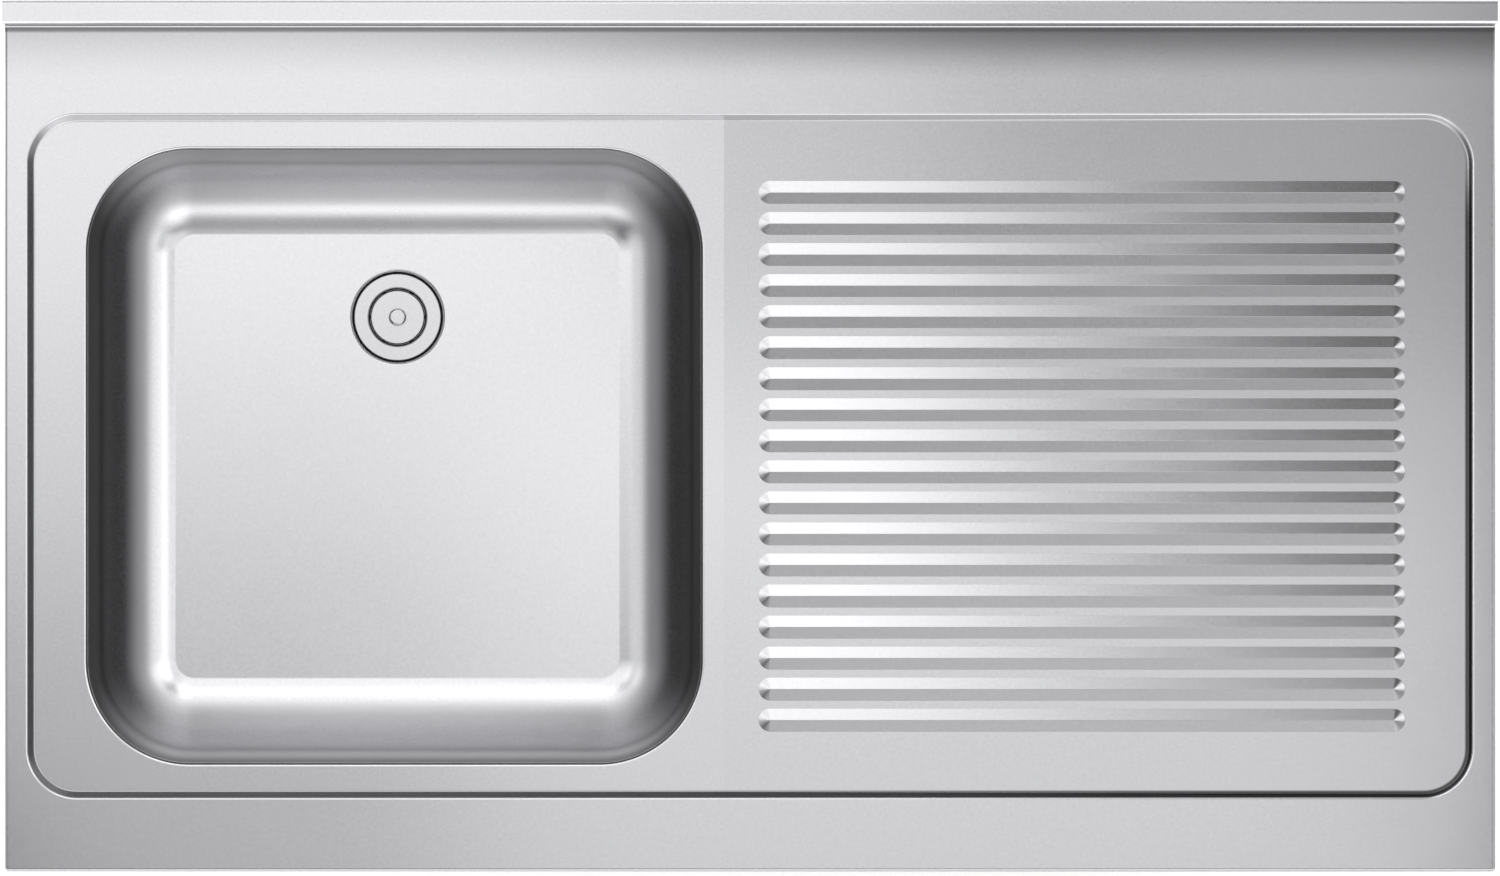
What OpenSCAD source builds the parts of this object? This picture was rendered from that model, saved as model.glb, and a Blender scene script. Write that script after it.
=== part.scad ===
/* [Worktop] */
// Overall width of the sink top
top_w = 1200; // [1150:10:1600]
// Overall depth, from the front edge to the wall
top_d = 700; // [660:10:900]
// Height of the folded apron, measured down from the deck
apron_h = 50; // [45:5:80]
// Thickness of the top sheet
sheet_t = 1.5; // [1.2:0.1:1.8]
// Outside radius of the folds along the edges
fold_r = 2.5; // [2.2:0.1:3]
// Radius of the welded front corners, seen from above
corner_r = 3.5; // [3.2:0.1:8]
// Width of the inward return under the apron
return_w = 15; // [10:1:15]

/* [Upstand] */
// Height of the upstand above the deck
upstand_h = 100; // [60:10:150]
// Thickness of the upstand, front face to wall
upstand_t = 18.5; // [15:0.5:30]
// Radius of the cove between deck and upstand
cove_r = 3; // [2:0.5:10]
// Height of the rear fold of the upstand
rear_fold_h = 25; // [15:5:50]

/* [Sunken tray] */
// Raised border at the left and right
border_side = 18; // [16:1:40]
// Raised border at the front
border_front = 59; // [56:1:70]
// Border at the rear, measured to the wall
border_rear = 90.5; // [80:0.5:120]
// Depth of the tray below the deck
tray_depth = 8; // [6:1:12]
// Plan width of the sloping step round the tray
tray_run = 5; // [3:0.5:8]
// Corner radius of the tray
tray_r = 40; // [25:5:60]
// Radius of the upper edge of the step
edge_r = 2.5; // [1:0.5:4]

/* [Bowl] */
// Width of the bowl opening
bowl_w = 500; // [400:10:560]
// Depth of the bowl opening, front to rear
bowl_d = 500; // [400:10:520]
// Height from the tray down to the bowl floor
bowl_h = 250; // [200:10:350]
// Space between the tray edge and the bowl opening
bowl_margin = 45.5; // [40:0.5:90]
// Corner radius of the bowl opening
bowl_r = 85; // [82:1:110]
// Thickness of the bowl sheet
bowl_t = 1.2; // [0.8:0.1:1.5]
// Radius of the lip where the tray turns down into the bowl
lip_r = 3; // [2:0.5:5]
// Depth of the turned-down lip that the bowl is welded to
lip_h = 10; // [8:1:16]
// Draft of the bowl walls, in degrees
bowl_draft = 2.75; // [1:0.25:4]
// Radius between the walls and the floor of the bowl
floor_r = 67; // [30:1:70]
// Angle of the crease where that radius meets the flat floor, in degrees
floor_crease = 8; // [2:1:15]

/* [Drainer] */
// Level space between the bowl opening and the crease of the drainer
crease_gap = 15.5; // [10:0.5:40]
// Height that the drainer falls from the right end to its crease
drainer_fall = 3; // [0:0.5:4]
// Number of pressed ribs
rib_count = 18; // [1:1:19]
// Distance between ribs, centre to centre
rib_pitch = 25; // [24:0.5:28]
// Width of one rib at its foot
rib_w = 18.5; // [10:0.5:18.5]
// Height of one rib above the drainer
rib_h = 2.5; // [1.8:0.1:3.5]
// Width of the flat crest of one rib
rib_crest = 1.4; // [1:0.1:3]
// Plain space between the crease and the rib ends
rib_gap_left = 28; // [20:1:60]
// Plain space between the rib ends and the right edge of the tray
rib_gap_right = 54.5; // [30:0.5:90]

/* [Stiffening] */
// Thickness of the front and rear rails
rail_t = 2; // [1.5:0.5:3]
// Width of the front rail under the deck
front_rail_w = 54; // [40:1:55]
// Width of the rear rail under the deck
rear_rail_w = 65; // [60:1:75]
// Number of cross channels under the drainer
channel_count = 3; // [2:1:4]
// Width of the crown of one cross channel
channel_w = 50; // [30:5:60]
// Height of one cross channel
channel_h = 25; // [20:1:30]
// Width of each welding flange of a cross channel
channel_flange = 18; // [12:1:20]
// Thickness of the boards that deaden the drainer
board_t = 16; // [10:1:20]
// Thickness of the deadening pads on the bowl
pad_t = 3; // [2:0.5:5]

/* [Fixing points] */
// Distance of a fixing point from the left or right edge
fix_side = 60; // [60:1:90]
// Distance of a fixing point from the front or rear edge
fix_end = 35; // [35:1:36]
// Outer diameter of a threaded bush
bush_d = 20; // [16:1:22]
// Core diameter of the thread in the bush, an M10
bush_core_d = 8.5; // [6.8:0.1:10.2]
// Height of a threaded bush
bush_h = 18; // [12:1:25]
// Diameter of the weld studs
stud_d = 6; // [5:1:6]

/* [Waste] */
// Distance from the centre of the bowl back to the waste
waste_back = 113; // [0:1:130]
// Diameter of the waste flange
flange_d = 70; // [66:1:80]
// Outside diameter of the threaded tail, a 1 1/2 inch pipe thread
tail_d = 47.8; // [42:0.1:48.5]
// Inside diameter of the tail
tail_bore_d = 43; // [38:0.5:43]
// Length of the waste below the bowl floor
waste_l = 75; // [60:1:90]
// Depth of the pressed seat for the flange
seat_h = 3; // [2:0.5:4]
// Diameter of the knob on the plug
knob_d = 14; // [10:1:18]

/* [Hidden] */

$fa = 3;
$fs = 0.5;

// Colours of the materials
satin_steel = [0.78, 0.79, 0.80];
raw_steel = [0.66, 0.67, 0.69];
bright_steel = [0.85, 0.86, 0.87];
rubber_black = [0.10, 0.10, 0.11];
board_brown = [0.47, 0.36, 0.26];
nylon_white = [0.90, 0.90, 0.88];
brass_yellow = [0.78, 0.63, 0.33];

// Small distances that are the same everywhere
past = 1;         // how far a cut runs past the face it opens
glue_gap = 0.1;   // layer of glue or weld between thin parts
hole_gap = 0.3;   // play of a screw in its hole
thread_gap = 0.1; // play between a thread and its nut
seal_gap = 0.3;   // space between the plug and its seat, and between rings in a bore

// Faces of the worktop. The origin is at the centre, level with the foot of the apron.
half_w = top_w / 2;
half_d = top_d / 2;
deck_z = apron_h;
under_z = deck_z - sheet_t;
upstand_z = deck_z + upstand_h;
upstand_y = half_d - upstand_t;
deck_end_y = upstand_y - cove_r;

// Tray
tray_w = top_w - 2 * border_side;
tray_d = top_d - border_front - border_rear;
tray_y = (border_front - border_rear) / 2;
tray_z = deck_z - tray_depth;
step_slope = tray_run / tray_depth;
step_angle = atan(step_slope);
tray_right = half_w - border_side;

// Bowl
bowl_x = -half_w + border_side + bowl_margin + bowl_w / 2;
bowl_y = tray_y;
bowl_top_z = tray_z - lip_h;
bowl_floor_z = tray_z - bowl_h;
bowl_top_u = -lip_r - (lip_h - lip_r) * tan(bowl_draft);
fillet_z = bowl_floor_z + floor_r * cos(floor_crease);
wall_foot_z = fillet_z - floor_r * sin(bowl_draft);
fillet_u = bowl_top_u - (bowl_top_z - wall_foot_z) * tan(bowl_draft) - floor_r * cos(bowl_draft);

// Drainer
crease_x = bowl_x + bowl_w / 2 + crease_gap;
drainer_l = tray_right - crease_x;
fall_angle = atan(drainer_fall / drainer_l);
rib_slope = atan(2 * rib_h / (rib_w - rib_crest));
rib_from = rib_gap_left + rib_w / 2;
rib_to = drainer_l - rib_gap_right - rib_w / 2;

// Cross channels, measured along the drainer from its crease
channel_from = rib_from + channel_w / 2;
channel_to = rib_to - channel_w / 2;
channel_step = (channel_to - channel_from) / (channel_count - 1);
channel_bend = 3;
channel_sheet = 1.5;
channel_end = 12;
channel_l = tray_d - 2 * channel_end;
channel_span = channel_w + 2 * channel_flange;
board_side_gap = 2;

// Rails
rail_bend = rail_t + 1;
rail_end_gap = 4;
front_rail_drop = 40;
rail_under_z = under_z - rail_t;

// Fixing points
fix_x = half_w - fix_side;
fix_y = half_d - fix_end;
bracket_w = 60;
bracket_d = 38;
bracket_t = 3;
bracket_bend = 5;
bracket_flange = 18;
bracket_h = rail_under_z;
stud_x = bracket_w / 2 + bracket_flange / 2 + 1;
stud_l = 20;
washer_t = 1.6;
washer_d = 2 * stud_d;
nut_h = 5;
nut_across = 10;
bush_collar_d = bush_d + 8;
bush_collar_h = 3;

// Earthing point
earth_side = 170;
earth_end = 40;
earth_x = half_w - earth_side;
earth_y = half_d - earth_end;
earth_l = 30;
tag_t = 0.8;
tag_l = 26;
tag_w = 9;
tag_eye_d = washer_d + 2;

// Waste, measured down from the bowl floor
waste_y = bowl_y + waste_back;
gasket_t = 1.5;
flange_t = seat_h - gasket_t;
tail_r = tail_d / 2;
tail_bore_r = tail_bore_d / 2;
waste_hole_r = tail_r + 1;
seat_r = flange_d / 2 + 0.5;
mouth_r = tail_r + 0.6;
throat_r = tail_bore_r + 1;
throat_z = -2;
throat_foot_z = -8;
throat_foot_r = tail_bore_r + 0.3;
under_seat = seat_h + bowl_t;
washer_rubber_t = 3;
slip_ring_t = 1;
waste_nut_h = 12;
waste_nut_d = 64;
nut_foot_z = -under_seat - washer_rubber_t - slip_ring_t - waste_nut_h;
nut_lap = 1;
relief_w = 2.5;
relief_depth = 0.8;
grid_z = -16;
grid_h = 3;
grid_bar_w = 3;
grid_hub_r = 6;

// Plug, measured up from the bowl floor
throat_taper = (throat_r - throat_foot_r) / (throat_z - throat_foot_z);
bung_top_z = -0.9;
bung_foot_z = -5.5;
bung_hollow_z = -3.5;
bung_foot_w = 2.5;
bung_wall = 4;
bung_gap = seal_gap + 0.1;
cap_t = 1.2;
cap_inset = 0.8;
stem_d = 5;
plug_nut_h = 3;
plug_washer_r = 7;
knob_gap = 4;
knob_h = 5;
knob_edge_r = 2;

// Profiles. In these, x runs outwards from a reference outline and y runs up.

// A quarter of a flat ring, as a bent sheet has in section
module quarter_ring(r, t) {
    intersection() {
        difference() {
            circle(r);
            circle(r - t);
        }
        square(r + past);
    }
}

// A sheet bent into an open channel with a flange on each side
module hat_profile(w, h, flange, t, r) {
    translate([-(w / 2 - r), 0]) square([w - 2 * r, t]);
    for (side = [0, 1]) mirror([side, 0]) {
        translate([w / 2 - r, r]) mirror([0, 1]) quarter_ring(r, t);
        translate([w / 2 - t, r]) square([t, h - 2 * r]);
        translate([w / 2 - t + r, h - r]) mirror([1, 0]) quarter_ring(r, t);
        translate([w / 2 - t + r, h - t]) square([flange + t - r, t]);
    }
}

// The folded edge: deck, apron and the bend to the return
module apron_profile() {
    translate([-corner_r, under_z]) square([corner_r - fold_r, sheet_t]);
    translate([-fold_r, deck_z - fold_r]) quarter_ring(fold_r, sheet_t);
    translate([-sheet_t, fold_r]) square([sheet_t, deck_z - 2 * fold_r]);
    translate([-fold_r, fold_r]) mirror([0, 1]) quarter_ring(fold_r, sheet_t);
    translate([-corner_r, 0]) square([corner_r - fold_r, sheet_t]);
}

// The end of the apron under the upstand, with no bend at the top
module flap_profile() {
    translate([-sheet_t, fold_r]) square([sheet_t, deck_z - fold_r]);
    translate([-fold_r, fold_r]) mirror([0, 1]) quarter_ring(fold_r, sheet_t);
}

// Section of the upstand, from the cove to the rear fold
module upstand_profile() {
    translate([deck_end_y, deck_z + cove_r]) mirror([0, 1]) quarter_ring(cove_r + sheet_t, sheet_t);
    translate([upstand_y, deck_z + cove_r]) square([sheet_t, upstand_h - cove_r - fold_r]);
    translate([upstand_y + fold_r, upstand_z - fold_r]) mirror([1, 0]) quarter_ring(fold_r, sheet_t);
    translate([upstand_y + fold_r, upstand_z - sheet_t]) square([upstand_t - 2 * fold_r, sheet_t]);
    translate([half_d - fold_r, upstand_z - fold_r]) quarter_ring(fold_r, sheet_t);
    translate([half_d - sheet_t, upstand_z - rear_fold_h]) square([sheet_t, rear_fold_h - fold_r]);
}

// A square corner less its rounding, to be cut away
module corner_waste(r) {
    difference() {
        square(r + past);
        circle(r);
    }
}

// Outline of the plate that closes one end of the upstand
module cap_profile() {
    difference() {
        translate([deck_end_y, deck_z]) square([half_d - deck_end_y, upstand_h]);
        translate([deck_end_y, deck_z + cove_r]) circle(cove_r);
        translate([deck_end_y - past, deck_z + cove_r]) square([cove_r + past, upstand_h]);
        translate([half_d - fold_r, upstand_z - fold_r]) corner_waste(fold_r);
        translate([upstand_y + fold_r, upstand_z - fold_r]) mirror([1, 0]) corner_waste(fold_r);
    }
}

// Filled section of the outside of the tray
module tray_outside_profile() {
    shift = sheet_t / cos(step_angle);
    polygon([
        [-tray_r, tray_z - sheet_t],
        [shift - (tray_depth + sheet_t) * step_slope, tray_z - sheet_t],
        [shift - sheet_t / 2 * step_slope, deck_z - sheet_t / 2],
        [-tray_r, deck_z - sheet_t / 2]
    ]);
}

// Section of the hollow of the tray: the step, and the rounding of its upper edge
module tray_inside_profile() {
    reach = edge_r * tan((90 - step_angle) / 2);
    difference() {
        polygon([
            [-tray_r, tray_z],
            [-tray_depth * step_slope, tray_z],
            [-reach * sin(step_angle), deck_z - reach * cos(step_angle)],
            [reach, deck_z - edge_r],
            [reach, deck_z + past],
            [-tray_r, deck_z + past]
        ]);
        translate([reach, deck_z - edge_r]) circle(edge_r);
    }
}

// Section of the lip that turns down into the bowl
module lip_profile() {
    drop = lip_h - lip_r;
    lean = drop * tan(bowl_draft);
    translate([0, tray_z - lip_r]) mirror([1, 0]) quarter_ring(lip_r, sheet_t);
    polygon([
        [-lip_r, tray_z - lip_r],
        [-lip_r + sheet_t, tray_z - lip_r],
        [-lip_r + sheet_t - lean, bowl_top_z],
        [-lip_r - lean, bowl_top_z]
    ]);
}

// Filled section of the bowl, grown by the thickness of its sheet for the outside
module bowl_fill(grow) {
    r = floor_r + grow;
    wall_foot = [fillet_u + r * cos(bowl_draft), fillet_z - r * sin(bowl_draft)];
    polygon([
        [-bowl_r, bowl_floor_z - grow],
        [fillet_u, bowl_floor_z - grow],
        [fillet_u, fillet_z],
        wall_foot,
        [wall_foot[0] + (bowl_top_z - wall_foot[1]) * tan(bowl_draft), bowl_top_z],
        [-bowl_r, bowl_top_z]
    ]);
    intersection() {
        translate([fillet_u, fillet_z]) circle(r);
        polygon([
            [fillet_u, fillet_z],
            [fillet_u, bowl_floor_z - grow],
            [fillet_u + 2 * r, bowl_floor_z - grow],
            [fillet_u + 2 * r, fillet_z]
        ]);
    }
}

module bowl_profile() {
    difference() {
        bowl_fill(bowl_t);
        bowl_fill(0);
    }
}

// Ways to run a profile along the worktop

// Along the width: the profile's x points to the rear
module along_width(l) {
    rotate([90, 0, 90]) linear_extrude(l) children();
}

// From the rear towards the front: the profile's x points to the right
module along_depth(l) {
    rotate([90, 0, 0]) linear_extrude(l) children();
}

// Round a rectangle with rounded corners, centred on the origin
module round_about(w, d, r) {
    for (flip = [0, 1]) {
        mirror([flip, 0, 0]) translate([w / 2, d / 2 - r, 0]) along_depth(d - 2 * r) children();
        mirror([0, flip, 0]) translate([-(w / 2 - r), d / 2, 0]) along_width(w - 2 * r) children();
    }
    for (turn = [0, 1, 2, 3]) {
        x = (turn == 0 || turn == 3 ? 1 : -1) * (w / 2 - r);
        y = (turn < 2 ? 1 : -1) * (d / 2 - r);
        translate([x, y, 0]) rotate([0, 0, 90 * turn]) rotate_extrude(angle = 90) translate([r, 0]) children();
    }
}

// The same for a filled profile, with the middle closed between two heights
module fill_about(w, d, r, from_z, to_z) {
    round_about(w, d, r) children();
    translate([-(w / 2 - r), -(d / 2 - r), from_z]) cube([w - 2 * r, d - 2 * r, to_z - from_z]);
}

// Sets its children on the drainer: x from the crease, z up from the sheet's upper face
module on_drainer() {
    translate([crease_x, tray_y, tray_z]) rotate([0, -fall_angle, 0]) children();
}

// What lies under the drainer, to be taken from a level tray
module below_drainer(top_z) {
    l = half_w - crease_x;
    translate([0, half_d, 0]) along_depth(top_d) polygon([
        [crease_x, top_z - apron_h],
        [crease_x, top_z],
        [crease_x + l, top_z + l * tan(fall_angle)],
        [crease_x + l, top_z - apron_h]
    ]);
}

// Top sheet

module tray_outside() {
    difference() {
        translate([0, tray_y, 0]) fill_about(tray_w, tray_d, tray_r, tray_z - sheet_t, deck_z - sheet_t / 2)
            tray_outside_profile();
        below_drainer(tray_z - sheet_t);
    }
}

module tray_inside() {
    difference() {
        translate([0, tray_y, 0]) fill_about(tray_w, tray_d, tray_r, tray_z, deck_z + past)
            tray_inside_profile();
        below_drainer(tray_z);
    }
}

module bowl_opening() {
    translate([bowl_x, bowl_y, 0]) fill_about(bowl_w, bowl_d, bowl_r, tray_z - sheet_t - past, tray_z + past)
        translate([-bowl_r, tray_z - sheet_t - past]) square([bowl_r, sheet_t + 2 * past]);
}

module pressed_deck() {
    difference() {
        union() {
            translate([-(half_w - corner_r), -(half_d - corner_r), under_z])
                cube([top_w - 2 * corner_r, half_d - corner_r + deck_end_y, sheet_t]);
            tray_outside();
        }
        tray_inside();
        bowl_opening();
    }
}

module aprons() {
    front_w = top_w - 2 * corner_r;
    side_l = deck_end_y + half_d - corner_r;
    mirror([0, 1, 0]) translate([-front_w / 2, half_d, 0]) along_width(front_w) apron_profile();
    translate([-front_w / 2, -(half_d - corner_r), 0]) cube([front_w, return_w - corner_r, sheet_t]);
    for (side = [0, 1]) mirror([side, 0, 0]) {
        translate([half_w, deck_end_y, 0]) along_depth(side_l) apron_profile();
        translate([half_w, half_d, 0]) along_depth(half_d - deck_end_y) flap_profile();
        translate([half_w - corner_r, -(half_d - corner_r), 0]) rotate([0, 0, -90]) rotate_extrude(angle = 90)
            translate([corner_r, 0]) apron_profile();
        translate([half_w - return_w, -(half_d - corner_r), 0]) cube([return_w - corner_r, side_l, sheet_t]);
    }
}

// Section of half a rib, from its crest to its foot, less a thickness taken off all round
module half_rib_profile(less, foot_z) {
    crest = rib_crest / 2 - less * tan(rib_slope / 2);
    top_h = rib_h - less;
    polygon([[0, foot_z], [crest + (top_h - foot_z) / tan(rib_slope), foot_z], [crest, top_h], [0, top_h]]);
}

// One rib as a gable with half-cone ends, down to a level below the drainer's face
module rib(less, foot_z) {
    for (side = [0, 1]) translate([rib_from, 0, 0]) mirror([0, side, 0]) along_width(rib_to - rib_from)
        half_rib_profile(less, foot_z);
    for (end = [[rib_from, 90], [rib_to, -90]])
        translate([end[0], 0, 0]) rotate([0, 0, end[1]]) rotate_extrude(angle = 180) half_rib_profile(less, foot_z);
}

module ribs(less, foot_z) {
    on_drainer() for (i = [0 : rib_count - 1])
        translate([0, (i - (rib_count - 1) / 2) * rib_pitch, 0]) rib(less, foot_z);
}

module top_sheet() {
    color(satin_steel) difference() {
        union() {
            pressed_deck();
            aprons();
            translate([-(half_w - sheet_t), 0, 0]) along_width(top_w - 2 * sheet_t) upstand_profile();
            translate([bowl_x, bowl_y, 0]) round_about(bowl_w, bowl_d, bowl_r) lip_profile();
            ribs(0, -sheet_t / 2);
        }
        ribs(sheet_t, -sheet_t - past);
    }
}

// Bowl, with the pressed seat and the hole of the waste

module bowl() {
    color(satin_steel) difference() {
        union() {
            translate([bowl_x, bowl_y, 0]) {
                round_about(bowl_w, bowl_d, bowl_r) bowl_profile();
                translate([-(bowl_w / 2 - bowl_r), -(bowl_d / 2 - bowl_r), bowl_floor_z - bowl_t])
                    cube([bowl_w - 2 * bowl_r, bowl_d - 2 * bowl_r, bowl_t]);
            }
            on_waste() translate([0, 0, -under_seat])
                cylinder(h = seat_h, r1 = seat_r + bowl_t, r2 = seat_r + bowl_t + seat_h);
        }
        on_waste() translate([0, 0, -seat_h])
            cylinder(h = seat_h + past, r1 = seat_r, r2 = seat_r + seat_h + past);
        on_waste() translate([0, 0, -under_seat - past]) cylinder(h = under_seat, r = waste_hole_r);
    }
}

module upstand_caps() {
    color(satin_steel) for (side = [0, 1]) mirror([side, 0, 0])
        translate([half_w - sheet_t, 0, 0]) along_width(sheet_t) cap_profile();
}

// Rails and channels under the deck

module front_rail() {
    u = half_d - sheet_t;
    l = top_w - 2 * (sheet_t + rail_end_gap);
    color(raw_steel) mirror([0, 1, 0]) translate([-l / 2, 0, 0]) along_width(l) {
        translate([u - rail_bend, under_z - rail_bend]) quarter_ring(rail_bend, rail_t);
        translate([u - front_rail_w, rail_under_z]) square([front_rail_w - rail_bend, rail_t]);
        translate([u - rail_t, under_z - front_rail_drop]) square([rail_t, front_rail_drop - rail_bend]);
    }
}

module rear_rail() {
    l = top_w - 2 * rail_end_gap;
    color(raw_steel) translate([-l / 2, 0, 0]) along_width(l) {
        translate([half_d - rail_bend, under_z - rail_bend]) quarter_ring(rail_bend, rail_t);
        translate([half_d - rail_bend, rail_bend]) mirror([0, 1]) quarter_ring(rail_bend, rail_t);
        translate([half_d - rear_rail_w, rail_under_z]) square([rear_rail_w - rail_bend, rail_t]);
        translate([half_d - rail_t, rail_bend]) square([rail_t, under_z - 2 * rail_bend]);
        translate([half_d - return_w, 0]) square([return_w - rail_bend, rail_t]);
    }
}

module cross_channels() {
    color(raw_steel) on_drainer() for (i = [0 : channel_count - 1])
        translate([channel_from + i * channel_step, channel_l / 2, -sheet_t - glue_gap - channel_h])
            along_depth(channel_l) hat_profile(channel_w, channel_h, channel_flange, channel_sheet, channel_bend);
}

module drainer_boards() {
    board_w = channel_step - channel_span - 2 * board_side_gap;
    color(board_brown) on_drainer() for (i = [0 : channel_count - 2])
        translate([
            channel_from + i * channel_step + channel_span / 2 + board_side_gap,
            -channel_l / 2,
            -sheet_t - glue_gap - board_t
        ]) cube([board_w, channel_l, board_t]);
}

// Deadening pads on the outside of the bowl

module bowl_floor_pad() {
    pad_w = bowl_w - 2 * bowl_r;
    pad_d = 150;
    front_y = bowl_y - bowl_d / 2 + bowl_r;
    color(rubber_black) translate([bowl_x - pad_w / 2, front_y, bowl_floor_z - bowl_t - glue_gap - pad_t])
        cube([pad_w, pad_d, pad_t]);
}

module bowl_wall_pads() {
    pad_h = 120;
    pad_l = 260;
    mid_z = (bowl_top_z + fillet_z) / 2;
    mid_u = bowl_top_u - (bowl_top_z - mid_z) * tan(bowl_draft) + bowl_t / cos(bowl_draft) + glue_gap;
    color(rubber_black) translate([bowl_x, bowl_y, 0]) for (flip = [0, 1]) {
        mirror([flip, 0, 0]) translate([bowl_w / 2, pad_l / 2, 0]) along_depth(pad_l)
            translate([mid_u, mid_z]) rotate(-bowl_draft) translate([0, -pad_h / 2]) square([pad_t, pad_h]);
        mirror([0, flip, 0]) translate([-pad_l / 2, bowl_d / 2, 0]) along_width(pad_l)
            translate([mid_u, mid_z]) rotate(-bowl_draft) translate([0, -pad_h / 2]) square([pad_t, pad_h]);
    }
}

// Fixing points: a bracket under each corner, hung from two weld studs

module at_corners() {
    for (x = [-fix_x, fix_x]) for (y = [-fix_y, fix_y]) translate([x, y, 0]) children();
}

module at_studs() {
    at_corners() for (x = [-stud_x, stud_x]) translate([x, 0, 0]) children();
}

module hex_nut(h, across, bore_d) {
    difference() {
        cylinder(h = h, d = across / cos(30), $fn = 6);
        translate([0, 0, -past]) cylinder(h = h + 2 * past, d = bore_d);
    }
}

module flat_washer(t, outer_d, bore_d) {
    difference() {
        cylinder(h = t, d = outer_d);
        translate([0, 0, -past]) cylinder(h = t + 2 * past, d = bore_d);
    }
}

module corner_brackets() {
    color(raw_steel) at_corners() difference() {
        translate([0, bracket_d / 2, 0]) along_depth(bracket_d)
            hat_profile(bracket_w, bracket_h, bracket_flange, bracket_t, bracket_bend);
        translate([0, 0, -past]) cylinder(h = bracket_t + 2 * past, d = bush_d + hole_gap);
        for (x = [-stud_x, stud_x]) translate([x, 0, bracket_h - bracket_t - past])
            cylinder(h = bracket_t + 2 * past, d = stud_d + 2 * hole_gap);
    }
}

module bracket_bushes() {
    color(bright_steel) at_corners() difference() {
        union() {
            cylinder(h = bush_h, d = bush_d);
            translate([0, 0, bracket_t]) cylinder(h = bush_collar_h, d = bush_collar_d);
        }
        translate([0, 0, -past]) cylinder(h = bush_h + 2 * past, d = bush_core_d);
    }
}

module weld_studs() {
    color(bright_steel) at_studs() translate([0, 0, rail_under_z - stud_l]) cylinder(h = stud_l, d = stud_d);
}

module stud_washers() {
    color(bright_steel) at_studs() translate([0, 0, bracket_h - bracket_t - washer_t])
        flat_washer(washer_t, washer_d, stud_d + hole_gap);
}

module stud_nuts() {
    color(bright_steel) at_studs() translate([0, 0, bracket_h - bracket_t - washer_t - nut_h])
        hex_nut(nut_h, nut_across, stud_d + thread_gap);
}

// Earthing point under the rear rail

module earth_stud() {
    color(brass_yellow) translate([earth_x, earth_y, rail_under_z - earth_l]) cylinder(h = earth_l, d = stud_d);
}

module earth_tag() {
    color(brass_yellow) translate([earth_x, earth_y, rail_under_z - nut_h - tag_t]) difference() {
        union() {
            cylinder(h = tag_t, d = tag_eye_d);
            translate([0, -tag_w / 2, 0]) cube([tag_l, tag_w, tag_t]);
        }
        translate([0, 0, -past]) cylinder(h = tag_t + 2 * past, d = stud_d + hole_gap);
    }
}

module earth_washer() {
    color(bright_steel) translate([earth_x, earth_y, rail_under_z - nut_h - tag_t - washer_t])
        flat_washer(washer_t, washer_d, stud_d + hole_gap);
}

module earth_nuts() {
    color(brass_yellow) for (z = [rail_under_z - nut_h, rail_under_z - 2 * nut_h - tag_t - washer_t])
        translate([earth_x, earth_y, z]) hex_nut(nut_h, nut_across, stud_d + thread_gap);
}

// Waste, set in the seat at the rear of the bowl floor

module on_waste() {
    translate([bowl_x, waste_y, bowl_floor_z]) children();
}

module ring(t, outer_r, inner_r) {
    difference() {
        cylinder(h = t, r = outer_r);
        translate([0, 0, -past]) cylinder(h = t + 2 * past, r = inner_r);
    }
}

// The groove below the back nut parts its thread from the length that the trap screws on to
module waste_body() {
    flange_r = flange_d / 2;
    edge = 0.4;
    relief_z = nut_foot_z + nut_lap;
    relief_r = tail_r - relief_depth;
    color(bright_steel) on_waste() {
        rotate_extrude() polygon([
            [flange_r, -flange_t],
            [flange_r, -edge],
            [flange_r - edge, 0],
            [mouth_r, 0],
            [throat_r, throat_z],
            [throat_foot_r, throat_foot_z],
            [tail_bore_r, throat_foot_z - 1],
            [tail_bore_r, -waste_l],
            [tail_r, -waste_l],
            [tail_r, relief_z - relief_w],
            [relief_r, relief_z - relief_w + relief_depth],
            [relief_r, relief_z - relief_depth],
            [tail_r, relief_z],
            [tail_r, -flange_t]
        ]);
        translate([0, 0, grid_z]) intersection() {
            cylinder(h = grid_h, r = tail_bore_r + 1);
            union() {
                for (turn = [0, 60, 120]) rotate([0, 0, turn])
                    translate([-tail_r, -grid_bar_w / 2, 0]) cube([tail_d, grid_bar_w, grid_h]);
                cylinder(h = grid_h, r = grid_hub_r);
            }
        }
    }
}

module waste_gasket() {
    color(rubber_black) on_waste() translate([0, 0, -seat_h])
        ring(gasket_t, flange_d / 2 - 1, tail_r + seal_gap);
}

module waste_washer() {
    color(rubber_black) on_waste() translate([0, 0, -under_seat - washer_rubber_t])
        ring(washer_rubber_t, waste_nut_d / 2, tail_r + seal_gap);
}

module waste_slip_ring() {
    color(nylon_white) on_waste() translate([0, 0, -under_seat - washer_rubber_t - slip_ring_t])
        ring(slip_ring_t, waste_nut_d / 2, tail_r + seal_gap);
}

module waste_nut() {
    lug_w = 8;
    lug_h = 5;
    color(brass_yellow) on_waste()
        translate([0, 0, nut_foot_z]) difference() {
            cylinder(h = waste_nut_h, d = waste_nut_d);
            translate([0, 0, -past]) cylinder(h = waste_nut_h + 2 * past, d = tail_d + 2 * thread_gap);
            for (turn = [0, 45, 90, 135]) rotate([0, 0, turn]) translate([-waste_nut_d, -lug_w / 2, -past])
                cube([2 * waste_nut_d, lug_w, lug_h + past]);
        }
}

// Plug, which lifts out of the waste

function bung_r(z) = throat_r - (throat_z - z) * throat_taper - bung_gap;

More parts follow.
